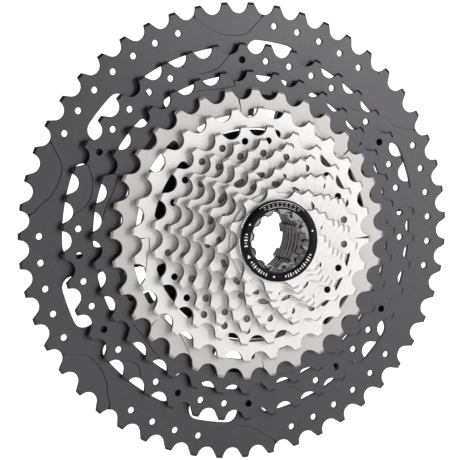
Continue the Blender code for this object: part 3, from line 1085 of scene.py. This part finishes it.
@dataclass
class Studio:
    """A pale sweep, a soft key and a small crisp one on the right, a weak top light, the camera."""

    camera_place: Triple = (-0.274925, -0.695642, 0.056630)
    camera_turn: Triple = (85.76910, -1.61674, -20.87588)
    lens: float = 130.078
    world_grey: float = 0.24
    floor_glow: float = 0.75
    panels: tuple[tuple[str, Triple, Pair, float], ...] = (
        ("key", (1.06, -1.06, -0.02), (0.75, 1.1), 2.7),
        ("crisp", (0.62, -1.30, 0.36), (0.18, 0.18), 36.0),
        ("top", (0.1, -0.3, 1.3), (1.2, 0.9), 0.7),
    )

    def sweep(self) -> None:
        """Floor and backdrop: a floor, a quarter turn and a wall, carried across the room."""
        floor = CAD_BOX[0].z
        bend, depth, width, tall = 0.5, 0.9, 9.0, 2.5
        arc = np.radians(np.linspace(0, 90, 19))
        y = np.concatenate([[-width, -1.0, 0.0], depth + bend * np.sin(arc), [depth + bend]])
        z = np.concatenate([[0.0, 0.0, 0.0], bend * (1 - np.cos(arc)), [tall]])
        x = np.linspace(-width, width, 9)[:, None]
        points = np.stack(np.broadcast_arrays(x, y, floor + z), -1)
        numbers = np.arange(points[..., 0].size).reshape(points.shape[:2])
        near, far = numbers[:-1], numbers[1:]
        faces = np.stack([near[:, :-1], far[:, :-1], far[:, 1:], near[:, 1:]], -1)
        mesh = bpy.data.meshes.new("sweep")
        mesh.from_pydata(points.reshape(-1, 3).tolist(), [], faces.reshape(-1, 4).tolist())
        mesh.shade_smooth()
        mesh.materials.append(Graph("studio_white").dress(
            Base_Color=(0.85, 0.85, 0.85), Roughness=0.8, Emission_Color=(1.0, 1.0, 1.0),
            Emission_Strength=self.floor_glow))
        made = link("sweep", mesh)

    def panel(self, name: str, place: Triple, size: Pair, radiance: float) -> None:
        """A soft rectangular light aimed at the axle; its power is pi times radiance and area."""
        light = bpy.data.lights.new(name, "AREA")
        light.shape, (light.size, light.size_y) = "RECTANGLE", size
        light.energy = pi * radiance * size[0] * size[1]
        made = link(name, light)
        made.location = place
        made.rotation_euler = (-Vector(place)).to_track_quat("-Z", "Y").to_euler()
        made.visible_camera = False

    def build(self) -> None:
        """Makes the sweep, the lights, the world and the camera."""
        self.sweep()
        for panel in self.panels:
            self.panel(*panel)
        world = bpy.data.worlds.new("studio")
        world.use_nodes = True
        colour = (*[self.world_grey] * 3, 1)
        world.node_tree.nodes["Background"].inputs["Color"].default_value = colour
        bpy.context.scene.world = world
        data = bpy.data.cameras.new("camera")
        data.lens, data.sensor_width = self.lens, 36.0
        data.clip_start, data.clip_end = 0.05, 20.0
        camera = link("camera", data)
        camera.location = self.camera_place
        camera.rotation_euler = [radians(angle) for angle in self.camera_turn]
        bpy.context.scene.camera = camera
        bpy.context.scene.view_settings.view_transform = "Standard"


def sprockets() -> list[Sprocket]:
    """All twelve sprockets, from the largest to the smallest."""
    graphite = {"finish": Finish.GRAPHITE, "body": "cluster", "slot": "graphite_sprocket"}
    nickel = {"finish": Finish.NICKEL, "slot": "nickel_sprocket"}
    tall_ramp = ((0.0, 98.5), (4.2, 90.4), (7.2, 88.9), (10.7, 89.2), (14.2, 91.3), (16.2, 94.2),
                 (19.5, 98.5))
    tall_starts = (29.1, 85.6, 156.2, 212.7, 262.1, 325.6)
    wide_ramp = ((0.0, 80.6), (3.0, 76.8), (6.0, 74.8), (10.5, 74.4), (14.0, 76.6), (16.5, 80.6))
    return [
        Sprocket(51, 4.6, **graphite, bore=59 * MM, rivets=61.5 * MM, windows=(
            Window(21.9, 16.6, 65.6 * MM, 87.3 * MM, 5.0 * MM),
            Window(52.6, 29.2, 65.6 * MM, 84.3 * MM, 4.5 * MM),
        ), holes=Holes(94.5 * MM, 4.6, (
            4, 5, 6, 12, 13, 14, 22, 23, 24, 30, 31, 32, 37, 38, 39, 46, 47, 48,
        )), ramps=(Ramp(tall_starts, tall_ramp, curved=True),)),
        Sprocket(42, 7.0, **graphite, bore=59 * MM, rivets=61.5 * MM, windows=(
            Window(21.7, 15.0, 64.0 * MM, 71.4 * MM, 2.0 * MM),
            Window(52.7, 25.0, 64.0 * MM, 71.4 * MM, 2.0 * MM),
        ), holes=Holes(78.0 * MM, 7.2, (5, 11, 12, 18, 19, 26, 32, 33, 39, 40)), ramps=(
            Ramp((96.9, 157.7, 277.0, 337.0), wide_ramp, curved=True),
            Ramp((44.4, 224.4), ((0.0, 80.6), (3.0, 77.4), (6.2, 77.0), (9.4, 80.6)), curved=True),
        )),
        Sprocket(36, 1.1, **graphite, bore=53 * MM, rivets=55.3 * MM, notches=(
            Notch(21.7, 14.0, 62.8 * MM, 1.5 * MM),
            Notch(51.2, 22.0, 60.9 * MM, 1.0 * MM),
        ), ramps=(
            Ramp((37.0, 97.0, 157.2, 217.0, 277.0, 337.0),
                 ((0.0, 69.0), (0.0, 66.4), (6.0, 66.2), (14.0, 68.0), (20.0, 69.0))),
        )),
        Sprocket(32, 0.2, Finish.GREY_NICKEL, "cluster", "nickel_sprocket", bore=47.6 * MM,
                 rivets=49.7 * MM, windows=(
            Window(22.7, 21.5, 51.8 * MM, 56.3 * MM, 1.5 * MM),
            Window(51.2, 18.0, 51.8 * MM, 54.3 * MM, 0.8 * MM),
        ), ramps=(
            Ramp((39.2, 96.7, 220.7, 277.2),
                 ((0.0, 60.6), (0.0, 55.2), (13.8, 55.2), (22.8, 60.6))),
        )),
        Sprocket(28, 11.3, **nickel, body="cog_28", windows=(
            Window(33.7, 35.0, 33.0 * MM, 47.9 * MM, 2.0 * MM),
        ), ramps=(
            Ramp((181.2, 358.2),
                 ((0.0, 53.0), (0.0, 49.2), (6.0, 49.2), (9.0, 50.6), (19.0, 53.5))),
        )),
        Sprocket(24, 9.6, **nickel, body="cog_24", holes=Holes(42.4 * MM, 9.9)),
        Sprocket(21, 4.5, **nickel, body="cog_21", holes=Holes(36.8 * MM, 4.2)),
        Sprocket(19, 6.1, **nickel, body="cog_19"),
        Sprocket(17, 10.3, **nickel, body="cog_17", slots=Slots(27.7 * MM, 14.4, 10.0, 2.4 * MM)),
        Sprocket(15, 13.3, **nickel, body="cog_15", slots=Slots(23.9 * MM, 14.2, 9.0, 2.2 * MM)),
        Sprocket(13, 23.1, **nickel, body="cog_13"),
        Sprocket(11, 1.1, **nickel, body="cog_11"),
    ]


def main() -> None:
    """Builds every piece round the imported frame, from the camera to the lockring."""
    logging.basicConfig(level=logging.INFO, format="%(name)s: %(message)s")
    Studio().build()
    Spider().build()
    for teeth, circle_radius in ((42, 61.5), (36, 55.3), (32, 49.7)):
        Rivets(teeth, circle_radius * MM, through=teeth == 42).build()
    plates = sprockets()
    for plate in plates:
        plate.build()
    loose = [plate.teeth for plate in plates if plate.bore is None]
    for inner_teeth, outer_teeth in zip(loose[:-1], loose[1:-1]):
        SpacerRing(inner_teeth, outer_teeth).build()
    SpacerRing(*loose[-2:], finish=Finish.NICKEL, slot="nickel_sprocket").build()
    Washer().build()
    Lockring().build()


if __name__ == "__main__":
    main()
